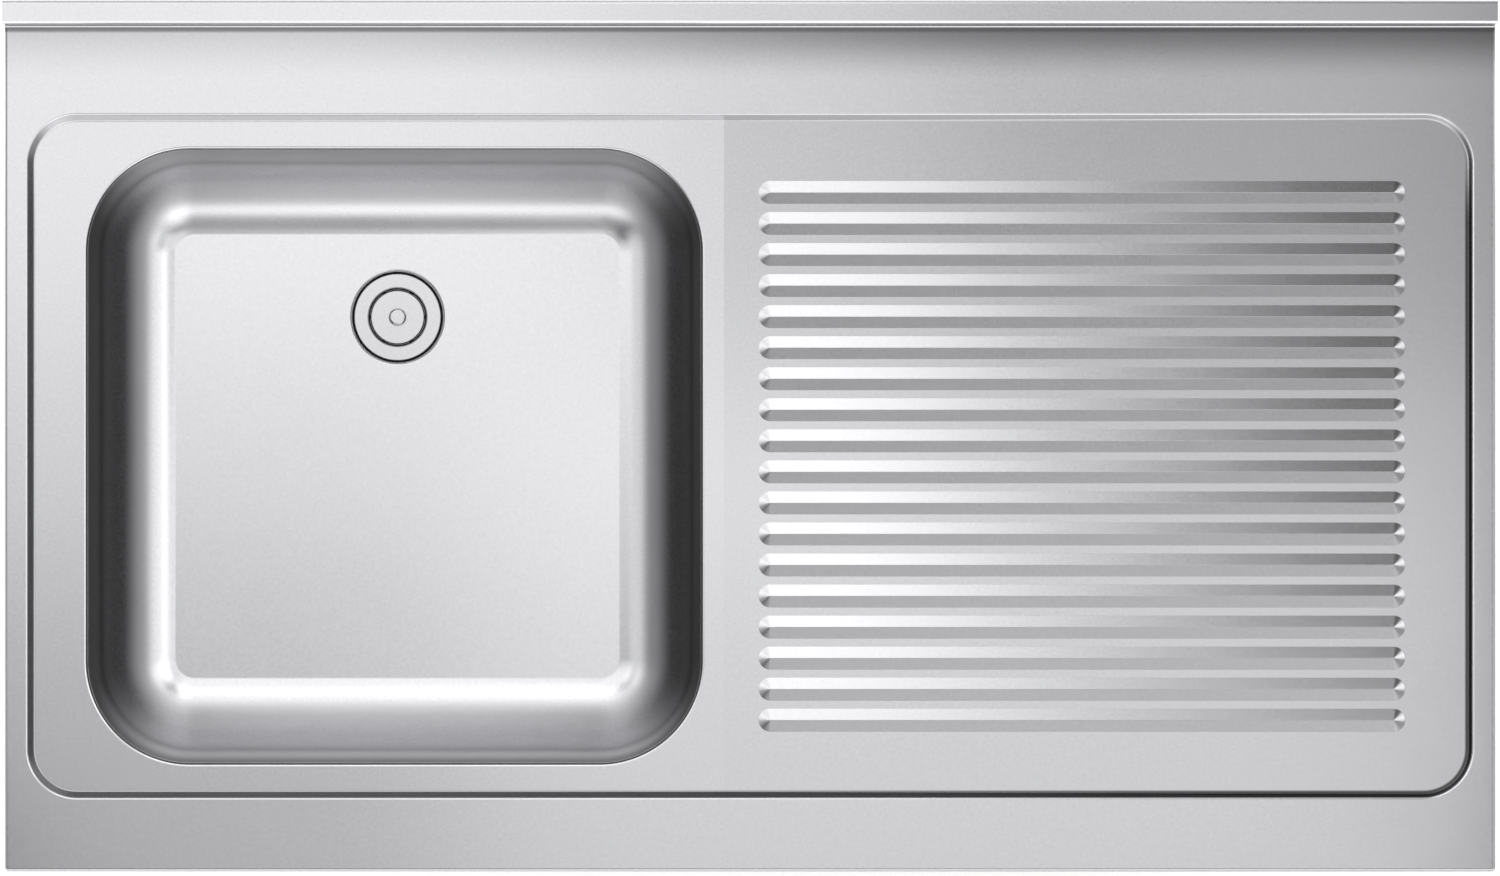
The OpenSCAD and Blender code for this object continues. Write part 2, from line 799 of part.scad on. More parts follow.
module plug_bung() {
    color(rubber_black) on_waste() rotate_extrude() polygon([
        [stem_d / 2 + thread_gap, bung_top_z],
        [bung_r(bung_top_z), bung_top_z],
        [bung_r(bung_foot_z), bung_foot_z],
        [bung_r(bung_foot_z) - bung_foot_w, bung_foot_z],
        [bung_r(bung_foot_z) - bung_wall, bung_hollow_z],
        [stem_d / 2 + thread_gap, bung_hollow_z]
    ]);
}

module plug_cap() {
    cap_r = bung_r(bung_top_z) - cap_inset;
    edge = 0.4;
    color(bright_steel) on_waste() rotate_extrude() polygon([
        [stem_d / 2 + thread_gap, bung_top_z],
        [cap_r, bung_top_z],
        [cap_r, bung_top_z + cap_t - edge],
        [cap_r - edge, bung_top_z + cap_t],
        [stem_d / 2 + thread_gap, bung_top_z + cap_t]
    ]);
}

module plug_knob() {
    cap_top = bung_top_z + cap_t;
    knob_z = cap_top + knob_gap;
    collar_r = 4;
    collar_h = 1;
    stem_foot = bung_hollow_z - plug_nut_h - 1;
    color(bright_steel) on_waste() rotate_extrude() {
        translate([0, stem_foot]) square([stem_d / 2, knob_z - stem_foot + 1]);
        translate([0, cap_top]) square([collar_r, collar_h]);
        translate([0, knob_z]) square([knob_d / 2 - knob_edge_r, knob_h]);
        translate([0, knob_z + knob_edge_r]) square([knob_d / 2, knob_h - 2 * knob_edge_r]);
        for (z = [knob_edge_r, knob_h - knob_edge_r])
            translate([knob_d / 2 - knob_edge_r, knob_z + z]) circle(knob_edge_r);
    }
}

module plug_nut() {
    color(bright_steel) on_waste() translate([0, 0, bung_hollow_z - plug_nut_h]) difference() {
        cylinder(h = plug_nut_h, r = plug_washer_r);
        translate([0, 0, -past]) cylinder(h = plug_nut_h + 2 * past, d = stem_d + thread_gap);
    }
}

top_sheet();
bowl();
upstand_caps();
front_rail();
rear_rail();
cross_channels();
drainer_boards();
bowl_floor_pad();
bowl_wall_pads();
corner_brackets();
bracket_bushes();
weld_studs();
stud_washers();
stud_nuts();
earth_stud();
earth_tag();
earth_washer();
earth_nuts();
waste_body();
waste_gasket();
waste_washer();
waste_slip_ring();
waste_nut();
plug_bung();
plug_cap();
plug_knob();
plug_nut();
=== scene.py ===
import math

import bmesh
import bpy
from mathutils.geometry import delaunay_2d_cdt
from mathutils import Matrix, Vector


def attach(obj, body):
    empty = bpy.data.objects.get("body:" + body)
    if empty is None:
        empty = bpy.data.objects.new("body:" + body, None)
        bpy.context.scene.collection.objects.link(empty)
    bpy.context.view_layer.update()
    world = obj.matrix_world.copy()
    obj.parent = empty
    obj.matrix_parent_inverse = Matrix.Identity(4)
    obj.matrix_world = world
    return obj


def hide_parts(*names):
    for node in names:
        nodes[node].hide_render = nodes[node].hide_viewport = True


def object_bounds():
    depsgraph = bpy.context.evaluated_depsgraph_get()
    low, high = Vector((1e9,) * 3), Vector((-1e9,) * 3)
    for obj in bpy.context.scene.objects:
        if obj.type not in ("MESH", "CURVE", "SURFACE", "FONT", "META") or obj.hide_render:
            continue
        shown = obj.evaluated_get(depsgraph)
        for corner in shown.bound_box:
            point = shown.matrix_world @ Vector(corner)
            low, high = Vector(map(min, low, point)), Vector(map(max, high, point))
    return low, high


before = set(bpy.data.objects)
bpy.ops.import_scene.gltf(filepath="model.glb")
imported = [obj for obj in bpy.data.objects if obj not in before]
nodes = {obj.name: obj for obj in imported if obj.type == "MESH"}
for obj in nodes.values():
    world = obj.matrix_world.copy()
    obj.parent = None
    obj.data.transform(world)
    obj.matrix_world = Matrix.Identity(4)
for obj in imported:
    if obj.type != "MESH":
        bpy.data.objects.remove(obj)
cad_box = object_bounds()

# Sizes of the sink top, in millimetres, as in the part's own source
MM = 0.001
HALF_W, HALF_D = 600.0, 350.0
DECK_Z, SHEET = 50.0, 1.5
FOLD_R, CORNER_R, RETURN_W = 2.5, 3.5, 15.0
UPSTAND_Z, UPSTAND_Y, COVE_R, REAR_FOLD = 150.0, 331.5, 3.0, 25.0
TRAY_W, TRAY_D, TRAY_Y, TRAY_R, TRAY_DEPTH = 1164.0, 550.5, -15.75, 40.0, 8.0
STEP_W, STEP_EDGE_R, STEP_FOOT_R = 5.0, 2.5, 2.0
BOWL_X, BOWL_Y, BOWL_SIDE, BOWL_R, BOWL_SHEET = -286.5, -15.75, 500.0, 85.0, 1.2
LIP_R, LIP_H, BOWL_DEPTH, DRAFT, FLOOR_R, CREASE = 3.0, 10.0, 250.0, 2.75, 67.0, 8.0
CREASE_X, DRAINER_L, FALL = -21.0, 603.0, 3.0
RIB_COUNT, RIB_PITCH, RIB_W, RIB_H, RIB_CREST = 18, 25.0, 18.5, 2.5, 1.4
RIB_GAP_LEFT, RIB_GAP_RIGHT = 28.0, 54.5
RIB_FOOT_R, RIB_CREST_R = 0.8, 1.0
WASTE_BACK, SEAT_R, SEAT_H, WASTE_HOLE_R, SEAT_EDGE_R = 113.0, 35.5, 3.0, 24.9, 1.5

# Corners closer than this are one, edges shorter than this go, in millimetres, and edges that turn
# by more degrees than this stay sharp. Large faces pull the shading of small ones by the last.
WELD_GAP, SHORT_EDGE, SHARP_TURN, FACE_PULL = 0.002, 0.0005, 32.0, 80
# Rows that hold the shading at the crease round the bowl's floor: degrees before it, millimetres after
CREASE_TURN, CREASE_RING = 0.6, 0.7

STEP_SLOPE = STEP_W / TRAY_DEPTH
TRAY_Z = DECK_Z - TRAY_DEPTH
DECK_END_Y = UPSTAND_Y - COVE_R
BOWL_FLOOR_Z = TRAY_Z - BOWL_DEPTH
WASTE_Y = BOWL_Y + WASTE_BACK


# Shapes

def bend(x, z, r, start, end, steps):
    """Points of an arc in a section, from one angle to another, in degrees."""
    turns = [math.radians(start + (end - start) * i / steps) for i in range(steps + 1)]
    return [(x + r * math.cos(a), z + r * math.sin(a)) for a in turns]


def rounded(x, y, w, d, r, steps, marks=()):
    """Spots round a rectangle with rounded corners.

    Each holds where it is measured from, which way is out, and how far."""
    spots = []
    for quarter, (sx, sy) in enumerate(((1, 1), (-1, 1), (-1, -1), (1, -1))):
        middle = (x + sx * (w / 2 - r), y + sy * (d / 2 - r))
        for i in range(steps + 1):
            a = math.radians(90 * quarter + 90 * i / steps)
            spots.append((middle, (math.cos(a), math.sin(a)), r))
        if quarter in (0, 2):
            out = (0, 1) if quarter == 0 else (0, -1)
            far = y + out[1] * (d / 2 - r)
            spots += [((m, far), out, r) for m in (marks if quarter == 2 else marks[::-1])]
    return spots


def round_ended(from_x, to_x, y, steps):
    """Spots round a long shape with half-round ends."""
    spots = []
    for x, start in ((to_x, -90), (from_x, 90)):
        for i in range(steps + 1):
            a = math.radians(start + 180 * i / steps)
            spots.append(((x, y), (math.cos(a), math.sin(a)), 0.0))
    return spots


def placed(spots, out):
    """Where the spots lie when their outline is grown by a distance.

    Past its centre a corner stays square."""
    points = []
    for (x, y), (nx, ny), r in spots:
        far = r + out
        if far >= 0:
            points.append((x + far * nx, y + far * ny))
        else:
            sx = -1 if x > 0 else 1
            sy = -1 if y > 0 else 1
            points.append((x - far * sx * (abs(nx) > 0.001 or r > 0), y - far * sy))
    return points


def floor_height(x):
    """Height of the tray: level up to the crease, then rising to the right."""
    return TRAY_Z + max(0.0, x - CREASE_X) * FALL / DRAINER_L


class Skin:
    """Collects the corners and faces of a surface, in millimetres."""

    def __init__(self):
        self.mesh = bmesh.new()

    def row(self, points):
        return [self.mesh.verts.new(p) for p in points]

    def face(self, corners):
        kept = list(dict.fromkeys(corners))
        if len(kept) > 2:
            self.mesh.faces.new(kept)

    def strip(self, first, second, closed=True):
        """Faces between two rows.

        Both run anticlockwise. The faces look up where the first row lies outside the second."""
        for i in range(len(first) if closed else len(first) - 1):
            j = (i + 1) % len(first)
            self.face([first[i], first[j], second[j], second[i]])

    def run(self, rows, closed=True):
        for first, second in zip(rows, rows[1:]):
            self.strip(first, second, closed)

    def flat(self, *loops):
        """Fills a region: the first loop is its outline, the others are holes in it."""
        corners = [c for loop in loops for c in loop]
        edges, start = [], 0
        for loop in loops:
            edges += [(start + i, start + (i + 1) % len(loop)) for i in range(len(loop))]
            start += len(loop)
        _, _, faces, origin = delaunay_2d_cdt([c.co.xy for c in corners], edges, [], 0, 1e-5)[:4]
        for face in faces:
            three = [corners[origin[i][0]] for i in face]
            x = sum(c.co.x for c in three) / 3
            y = sum(c.co.y for c in three) / 3
            if sum(crossings(x, y, loop) for loop in loops) % 2:
                self.face(three)

    def turned(self, section, x, y, z, steps=96):
        """Turns a section of (radius, height) about an upright axis."""
        turns = [math.tau * i / steps for i in range(steps)]
        rows = []
        for r, h in section:
            rows.append(self.row([(x + r * math.cos(a), y + r * math.sin(a), z + h) for a in turns]))
        self.run(rows)
        return rows

    def prism(self, outline, place, length):
        """A straight bar of a closed outline. place turns (u, v, along) into a point."""
        ends = [self.row([place(u, v, far) for u, v in outline]) for far in (0, length)]
        self.strip(*ends)
        self.face(ends[0][::-1])
        self.face(ends[1])


def crossings(x, y, loop):
    """How often a line from a point to the left crosses a loop."""
    count = 0
    for a, b in zip(loop, loop[1:] + loop[:1]):
        ax, ay, bx, by = a.co.x, a.co.y, b.co.x, b.co.y
        if (ay > y) != (by > y) and x > ax + (y - ay) * (bx - ax) / (by - ay):
            count += 1
    return count


def applied(piece):
    """Takes the piece's modifiers into its mesh."""
    bpy.context.view_layer.update()
    graph = bpy.context.evaluated_depsgraph_get()
    finished = bpy.data.meshes.new_from_object(piece.evaluated_get(graph))
    piece.modifiers.clear()
    piece.data = finished


def made(skin, name, body, replaces, thickness=0.0, creases=None):
    """Turns a skin into a piece.

    It is thickened on its hidden side, smooth across its bends and sharp at its edges."""
    bmesh.ops.remove_doubles(skin.mesh, verts=skin.mesh.verts, dist=WELD_GAP)
    bmesh.ops.dissolve_degenerate(skin.mesh, edges=skin.mesh.edges, dist=SHORT_EDGE)
    if not thickness:
        bmesh.ops.recalc_face_normals(skin.mesh, faces=skin.mesh.faces)
    bmesh.ops.scale(skin.mesh, vec=(MM, MM, MM), verts=skin.mesh.verts)
    mesh = bpy.data.meshes.new(name)
    skin.mesh.to_mesh(mesh)
    skin.mesh.free()
    piece = bpy.data.objects.new(name, mesh)
    bpy.context.scene.collection.objects.link(piece)
    if thickness:
        solid = piece.modifiers.new("thickness", "SOLIDIFY")
        solid.thickness = thickness * MM
        solid.offset = -1
        solid.use_even_offset = True
        solid.use_quality_normals = True
        applied(piece)
    piece.data.shade_smooth()
    piece.data.set_sharp_from_angle(angle=math.radians(SHARP_TURN))
    if creases:
        marked = piece.data.attributes["sharp_edge"].data
        for edge in piece.data.edges:
            ends = [piece.data.vertices[v].co / MM for v in edge.vertices]
            if all(creases(p) for p in ends):
                marked[edge.index].value = True
    even = piece.modifiers.new("normals", "WEIGHTED_NORMAL")
    even.keep_sharp = True
    even.weight = FACE_PULL
    applied(piece)
    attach(piece, body)
    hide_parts(*replaces)
    return piece


def tray_rows(skin):
    """The step round the sunken tray: its upper edge, the slope and the foot."""
    slope = math.degrees(math.atan(STEP_SLOPE))
    reach = STEP_EDGE_R * math.tan(math.radians((90 - slope) / 2))
    foot = STEP_FOOT_R * math.tan(math.radians((90 - slope) / 2))
    spots = rounded(0, TRAY_Y, TRAY_W, TRAY_D, TRAY_R, 20, marks=(CREASE_X,))
    columns = []
    for spot in spots:
        x = placed([spot], -STEP_W)[0][0]
        depth = DECK_Z - floor_height(x)
        section = bend(reach, DECK_Z - STEP_EDGE_R, STEP_EDGE_R, 90, 180 - slope, 8)
        foot_u = -depth * STEP_SLOPE - foot
        section += bend(foot_u, DECK_Z - depth + STEP_FOOT_R, STEP_FOOT_R, -slope, -90, 8)
        columns.append([placed([spot], u)[0] + (z,) for u, z in section])
    rows = [list(points) for points in zip(*columns)]
    rows[-1] = [(x, y, floor_height(x)) for x, y, _ in rows[-1]]
    return [skin.row(points) for points in rows]


def rib_rows(skin, y):
    """One pressed rib, from its foot to its crest, with half-cone ends."""
    slope = math.atan(2 * RIB_H / (RIB_W - RIB_CREST))
    turn = math.degrees(slope)
    foot = RIB_FOOT_R * math.tan(slope / 2)
    apex = RIB_H + RIB_CREST / 2 * math.tan(slope)
    section = bend(RIB_W / 2 + foot, RIB_FOOT_R, RIB_FOOT_R, 270, 270 - turn, 3)
    section += bend(0, apex - RIB_CREST_R / math.cos(slope), RIB_CREST_R, 90 - turn, 90, 4)
    from_x = CREASE_X + RIB_GAP_LEFT + RIB_W / 2
    to_x = TRAY_W / 2 - RIB_GAP_RIGHT - RIB_W / 2
    spots = round_ended(from_x, to_x, y, 20)
    rows = []
    for u, h in section:
        rows.append(skin.row([(px, py, floor_height(px) + h) for px, py in placed(spots, u)]))
    return rows


def lip_rows(skin):
    """The lip drawn down into the bowl's opening."""
    spots = rounded(BOWL_X, BOWL_Y, BOWL_SIDE, BOWL_SIDE, BOWL_R, 24)
    section = bend(0, TRAY_Z - LIP_R, LIP_R, 90, 180 - DRAFT, 10)
    section.append((-LIP_R - (LIP_H - LIP_R) * math.tan(math.radians(DRAFT)), TRAY_Z - LIP_H))
    return [skin.row([(x, y, z) for x, y in placed(spots, u)]) for u, z in section]


def fold_rows(skin):
    """The folded edge along the left side, the front and the right side, down to its return."""
    path = [((-HALF_W + CORNER_R, DECK_END_Y), (-1, 0), CORNER_R)]
    for sx, start in ((-1, 180), (1, 270)):
        middle = (sx * (HALF_W - CORNER_R), -(HALF_D - CORNER_R))
        for i in range(9):
            a = math.radians(start + 90 * i / 8)
            path.append((middle, (math.cos(a), math.sin(a)), CORNER_R))
    path.append(((HALF_W - CORNER_R, DECK_END_Y), (1, 0), CORNER_R))
    section = bend(-FOLD_R, DECK_Z - FOLD_R, FOLD_R, 90, 0, 10)
    section += bend(-FOLD_R, FOLD_R, FOLD_R, 0, -90, 10)
    fold = []
    for u, z in section:
        fold.append(skin.row([(x, y, z) for x, y in placed(path, u)]))
    inside = HALF_W - RETURN_W
    back = -(HALF_D - RETURN_W)
    corners = [(-inside, back)] * 9 + [(inside, back)] * 9
    under = [(-inside, DECK_END_Y)] + corners + [(inside, DECK_END_Y)]
    fold.append(skin.row([(x, y, 0) for x, y in placed(path, -CORNER_R)]))
    fold.append(skin.row([(x, y, 0) for x, y in under]))
    return fold


def upstand_rows(skin, left, right):
    """The cove, the upstand and its rear fold. They start at the deck's two rear corners."""
    section = bend(DECK_END_Y, DECK_Z + COVE_R, COVE_R, -90, 0, 10)[1:]
    section += bend(UPSTAND_Y + FOLD_R, UPSTAND_Z - FOLD_R, FOLD_R, 180, 90, 10)
    section += bend(HALF_D - FOLD_R, UPSTAND_Z - FOLD_R, FOLD_R, 90, 0, 10)
    section.append((HALF_D, UPSTAND_Z - REAR_FOLD))
    end = HALF_W - SHEET
    low = skin.row([(-end, DECK_END_Y, DECK_Z), (end, DECK_END_Y, DECK_Z)])
    low[1:1] = [left, right]
    columns = [-end, -(HALF_W - FOLD_R), HALF_W - FOLD_R, end]
    return [low] + [skin.row([(x, y, z) for x in columns]) for y, z in section]


def top_sheet():
    """The pressed top: deck, step, tray, drainer with its ribs, lip, folded edges and upstand."""
    skin = Skin()
    tray = tray_rows(skin)
    skin.run(tray)
    lip = lip_rows(skin)
    skin.run(lip)
    feet = []
    for i in range(RIB_COUNT):
        rib = rib_rows(skin, TRAY_Y + (i - (RIB_COUNT - 1) / 2) * RIB_PITCH)
        skin.run(rib)
        feet.append(rib[0])
    inner = tray[-1]
    first, second = [i for i, c in enumerate(inner) if abs(c.co.x - CREASE_X) < 0.001]
    skin.flat(inner[first:second + 1], lip[0])
    skin.flat(inner[second:] + inner[:first + 1], *feet)
    fold = fold_rows(skin)
    skin.run(fold[::-1], closed=False)
    skin.run(upstand_rows(skin, fold[0][0], fold[0][-1]), closed=False)
    skin.flat(fold[0], tray[0])
    return made(
        skin, "pressed_top", "sink", ["top_sheet"], SHEET,
        creases=lambda p: abs(p.x - CREASE_X) < 0.01 and p.z < TRAY_Z + 0.01,
    )


def apron_ends():
    """The tails of the two side aprons below the upstand."""
    skin = Skin()
    outline = bend(-FOLD_R, FOLD_R, FOLD_R, -90, 0, 6) + [(0, DECK_Z), (-SHEET, DECK_Z)]
    outline += bend(-FOLD_R, FOLD_R, FOLD_R - SHEET, 0, -90, 6)
    for side in (-1, 1):
        skin.prism(
            outline, lambda u, v, far: (side * (HALF_W + u), DECK_END_Y + far, v), HALF_D - DECK_END_Y,
        )
    return made(skin, "apron_tails", "sink", ["top_sheet"])


def bowl():
    """The drawn bowl with its sunken seat for the waste."""
    skin = Skin()
    draft = math.radians(DRAFT)
    crease = math.radians(CREASE)
    top_u = -LIP_R - (LIP_H - LIP_R) * math.tan(draft)
    top_z = TRAY_Z - LIP_H
    fillet_z = BOWL_FLOOR_Z + FLOOR_R * math.cos(crease)
    foot_z = fillet_z - FLOOR_R * math.sin(draft)
    fillet_u = top_u - (top_z - foot_z) * math.tan(draft) - FLOOR_R * math.cos(draft)
    section = [(top_u, top_z)] + bend(fillet_u, fillet_z, FLOOR_R, -DRAFT, CREASE - 90, 28)
    past = bend(fillet_u, fillet_z, FLOOR_R, CREASE - 90 - CREASE_TURN, CREASE - 90, 1)[0]
    section.insert(-1, (2 * section[-1][0] - past[0], 2 * section[-1][1] - past[1]))
    section.append((section[-1][0] - CREASE_RING, BOWL_FLOOR_Z))
    spots = rounded(BOWL_X, BOWL_Y, BOWL_SIDE, BOWL_SIDE, BOWL_R, 24)
    rows = [skin.row([(x, y, z) for x, y in placed(spots, u)]) for u, z in section]
    skin.run(rows)
    edge = SEAT_EDGE_R * math.tan(math.radians(22.5))
    seat = bend(SEAT_R + SEAT_H + edge, -SEAT_EDGE_R, SEAT_EDGE_R, 90, 135, 5)
    seat += bend(SEAT_R - edge, SEAT_EDGE_R - SEAT_H, SEAT_EDGE_R, 315, 270, 5)
    seat.append((WASTE_HOLE_R, -SEAT_H))
    pressed = skin.turned(seat, BOWL_X, WASTE_Y, BOWL_FLOOR_Z)
    skin.flat(rows[-1], pressed[0])
    return made(skin, "drawn_bowl", "sink", ["bowl"], BOWL_SHEET)


# Finishes

class Value:
    """A number that changes over a surface, for use in sums."""

    def __init__(self, finish, socket):
        self.finish = finish
        self.socket = socket

    def sum(self, operation, *others):
        return self.finish.sums(operation, self, *others)

    def __add__(self, other):
        return self.sum("ADD", other)

    def __sub__(self, other):
        return self.sum("SUBTRACT", other)

    def __rsub__(self, other):
        return self.finish.sums("SUBTRACT", other, self)

    def __mul__(self, other):
        return self.sum("MULTIPLY", other)

    def __truediv__(self, other):
        return self.sum("DIVIDE", other)

    def __abs__(self):
        return self.sum("ABSOLUTE")

    __radd__ = __add__
    __rmul__ = __mul__


class Finish:
    """Builds the nodes of one material, or of the world."""

    def __init__(self, tree):
        self.tree = tree
        tree.nodes.clear()

    def node(self, kind, settings=None, sockets=None, out=0):
        made_node = self.tree.nodes.new(kind)
        for name, value in (settings or {}).items():
            setattr(made_node, name, value)
        for name, value in (sockets or {}).items():
            if isinstance(value, Value):
                self.tree.links.new(value.socket, made_node.inputs[name])
            else:
                made_node.inputs[name].default_value = value
        return Value(self, made_node.outputs[out]) if made_node.outputs else made_node

    def sums(self, operation, *values):
        return self.node("ShaderNodeMath", {"operation": operation}, dict(enumerate(values)))

    def between(self, value, low, high):
        """0 below low, 1 above high, and a smooth change from one to the other."""
        return self.node(
            "ShaderNodeMapRange",
            {"interpolation_type": "SMOOTHSTEP"},
            {"Value": value, "From Min": low, "From Max": high},
        )

    def mix(self, factor, first, second):
        return self.node("ShaderNodeMix", {"data_type": "RGBA"}, {0: factor, 6: first, 7: second}, out=2)

    def place(self, stretch=(1, 1, 1)):
        spot = self.node("ShaderNodeTexCoord", out=3)
        if stretch == (1, 1, 1):
            return spot
        return self.node("ShaderNodeVectorMath", {"operation": "MULTIPLY"}, {0: spot, 1: stretch})

    def noise(self, size, detail=2.0, rough=0.5, stretch=(1, 1, 1)):
        """Soft random patches of about that size, in millimetres, from 0 to 1."""
        return self.node(
            "ShaderNodeTexNoise", None,
            {"Vector": self.place(stretch), "Scale": 1000 / size, "Detail": detail, "Roughness": rough},
        )

    def parts(self, vector):
        """The three numbers of a vector."""
        split = self.node("ShaderNodeSeparateXYZ", None, {0: vector})
        return [Value(self, socket) for socket in split.socket.node.outputs]

    def spot(self):
        """Where a point of the piece lies, in millimetres."""
        return [part * 1000 for part in self.parts(self.place())]

    def seen(self):
        """1 for what the eye sees, straight or in metal, and 0 for the light that falls on things."""
        path = self.node("ShaderNodeLightPath").socket.node
        camera_ray, glossy, through = (Value(self, path.outputs[name]) for name in SEEN_BY)
        return self.sums("MINIMUM", camera_ray + glossy + through, 1.0)

    def facing(self):
        """The three numbers of the direction in which the surface faces, before any bump."""
        return self.parts(self.node("ShaderNodeNewGeometry", out=3))

    def shown(self):
        """1 where the surface looks up, and 0 where it looks down."""
        return self.between(self.facing()[2], 0.0, 0.03)

    def within(self, value, low, high):
        """1 from low to high, 0 outside."""
        return self.sums("LESS_THAN", abs(value - (low + high) / 2), (high - low) / 2)

    def beyond(self, x, y, w, d, r):
        """How far a point lies outside a rectangle with rounded corners, in millimetres.

        It is below 0 inside the rectangle."""
        over_x = self.sums("MAXIMUM", abs(x) - (w / 2 - r), 0.0)
        over_y = self.sums("MAXIMUM", abs(y) - (d / 2 - r), 0.0)
        return self.sums("SQRT", over_x * over_x + over_y * over_y) - r

    def bump(self, height, depth, under=None):
        """Height from 0 to 1 becomes relief of that depth, in millimetres."""
        sockets = {"Height": height, "Strength": 1.0, "Distance": depth * MM}
        if under:
            sockets["Normal"] = under
        return self.node("ShaderNodeBump", None, sockets)

    def surface(self, sockets):
        shader = self.node("ShaderNodeBsdfPrincipled", None, sockets)
        self.node("ShaderNodeOutputMaterial", None, {"Surface": shader})


def finish(name):
    """A new material and the builder of its nodes."""
    material = bpy.data.materials.new(name)
    material.use_nodes = True
    return material, Finish(material.node_tree)


def tone(colour, factor=1.0):
    """A colour, darker or lighter by a factor, as a socket takes it."""
    return tuple(c * factor for c in colour) + (1.0,)


def graded(start, more, along):
    """A shade that changes along a piece, by more where along is 1."""
    return start + more * along


# How much lighter than its own colour blasted steel may be, from its grain and its painted light
LIGHTEST = 1.4


def blasted(f, colour, shade, roughness, edge=1.0):
    """Bead-blasted sheet: a fine even grain, faint clouds, and a sheet that is never quite flat.

    shade is the painted light and shade, a factor on the colour from 0 for black to LIGHTEST, and
    edge is what is left of the gloss seen aslant."""
    fine = f.noise(2.2, 3, 0.7)
    cloud = f.noise(45, 3, 0.55)
    broad = f.noise(230, 1, 0.4)
    grain = (0.89 + 0.2 * fine) * (0.985 + 0.03 * cloud)
    f.surface({
        "Base Color": f.mix(shade * grain / LIGHTEST, (0, 0, 0, 1), tone(colour, LIGHTEST)),
        "Metallic": 1.0,
        "Specular Tint": (edge, edge, edge, 1),
        "Roughness": roughness + (fine - 0.5) * 0.05 + (cloud - 0.5) * 0.04,
        "Normal": f.bump(fine, 0.002, f.bump(broad, 0.03)),
    })


def sheet_steel(name, colour, roughness):
    """The finish of the pressed top.

    It has painted shade on the drainer, the step, the bowl's lip and the upstand's foot, and a
    painted highlight along the bend at the upstand's front edge."""
    material, f = finish(name)
    x, y, z = f.spot()
    shown = f.shown()
    sunk = f.within(z, TRAY_Z - 20, DECK_Z - 1) * shown

    # Painted shade on the drainer, more towards the rear
    rear_half = f.between(y, TRAY_Y - 150, TRAY_Y + TRAY_D / 2)
    drainer = f.within(x, CREASE_X, TRAY_W / 2) * sunk * graded(0.02, 0.12, rear_half)

    # Painted shade on the step, more towards the right and none at the rear
    step = f.between(f.beyond(x, y - TRAY_Y, TRAY_W, TRAY_D, TRAY_R), -7, -5) * sunk
    step = step * graded(0.45, 0.4, f.between(x, -500, 500)) * (1.0 - f.between(y, 170, 250))

    # Painted shade on the lip of the bowl's opening, less at the rear
    inside = f.beyond(x - BOWL_X, y - BOWL_Y, BOWL_SIDE, BOWL_SIDE, BOWL_R)
    lip = (1.0 - f.between(inside, -2.5, -0.5)) * f.within(z, TRAY_Z - 12, TRAY_Z - 0.5) * shown
    lip = lip * graded(0.84, -0.24, f.between(y, BOWL_Y + 200, BOWL_Y + 240))

    # Painted shade on the deck before the upstand, softly, and a painted dark line at the foot of the
    # cove
    right = f.between(x, -420, 250)
    soft = f.between(y, DECK_END_Y - 44, DECK_END_Y + 2) * graded(0.18, 0.45, right)
    line = f.between(y, DECK_END_Y - 4, DECK_END_Y - 1) * graded(0.5, -0.35, right)
    foot = (soft + line) * f.within(z, DECK_Z - 2, DECK_Z + 0.3) * shown

    # A painted highlight on the bend at the upstand's front edge
    painted_highlight = f.between(z, UPSTAND_Z - 3, UPSTAND_Z - 2)
    painted_highlight = painted_highlight * (1.0 - f.between(y, UPSTAND_Y + 1.5, UPSTAND_Y + 3))
    # The painted shades and the painted highlight together, as one factor on the colour
    shade = (1.0 - drainer) * (1.0 - step) * (1.0 - lip) * (1.0 - foot) * (1.0 + painted_highlight * 0.45)
    blasted(f, colour, shade, roughness)
    return material


def bowl_steel(name, colour, roughness):
    """The finish of the drawn bowl.

    Its fillets and walls are coarser than its floor. The walls have painted light at the front and
    the rear and painted shade at the sides, and most of all at the top."""
    material, f = finish(name)
    x, y, z = f.spot()
    height = z - BOWL_FLOOR_Z
    shown = f.shown()
    wall = f.between(height, 10, 24) * shown
    upper = f.between(height, 40, 90) * shown
    top = f.between(height, 120, 235) * shown
    rear = f.between(y, BOWL_Y + 200, BOWL_Y + 240)
    side = f.between(abs(x - BOWL_X) - abs(y - BOWL_Y), -60, 60)
    mottle = f.noise(2.6, 3, 0.6) - 0.5
    coarse = 0.26 * f.between(height, 0.5, 14)
    # Painted shade on the walls, darkest at the sides and higher up, and painted light on the front and
    # rear walls; the mottle is random tone within it
    shade = 1.0 - wall * (graded(-0.35, 1.0, side) + 0.3 * mottle) - upper * graded(0.03, 0.17, side)
    # More painted shade towards the top of the walls, less at the rear
    shade = shade * (1.0 - top * graded(0.6, -0.45, rear))
    blasted(f, colour, shade, roughness + coarse, 0.45)
    return material


def mill_steel(name, colour, roughness):
    """Rolled sheet as it leaves the mill, with faint streaks along its length."""
    material, f = finish(name)
    streak = f.noise(4, 3, 0.6, stretch=(0.06, 1, 1))
    cloud = f.noise(30, 3, 0.6)
    f.surface({
        "Base Color": f.mix(cloud, tone(colour, 0.9), tone(colour, 1.05)),
        "Metallic": 1.0,
        "Roughness": roughness + (streak - 0.5) * 0.12 + (cloud - 0.5) * 0.1,
        "Normal": f.bump(streak, 0.004),
    })
    return material


def bright_metal(name, colour, roughness):
    """Plated or turned metal with small handling marks."""
    material, f = finish(name)
    mark = f.noise(3, 4, 0.6)
    f.surface({
        "Base Color": f.mix(mark, tone(colour, 0.92), tone(colour, 1.05)),
        "Metallic": 1.0,
        "Roughness": roughness + (mark - 0.5) * 0.12,
        "Normal": f.bump(mark, 0.004),
    })
    return material


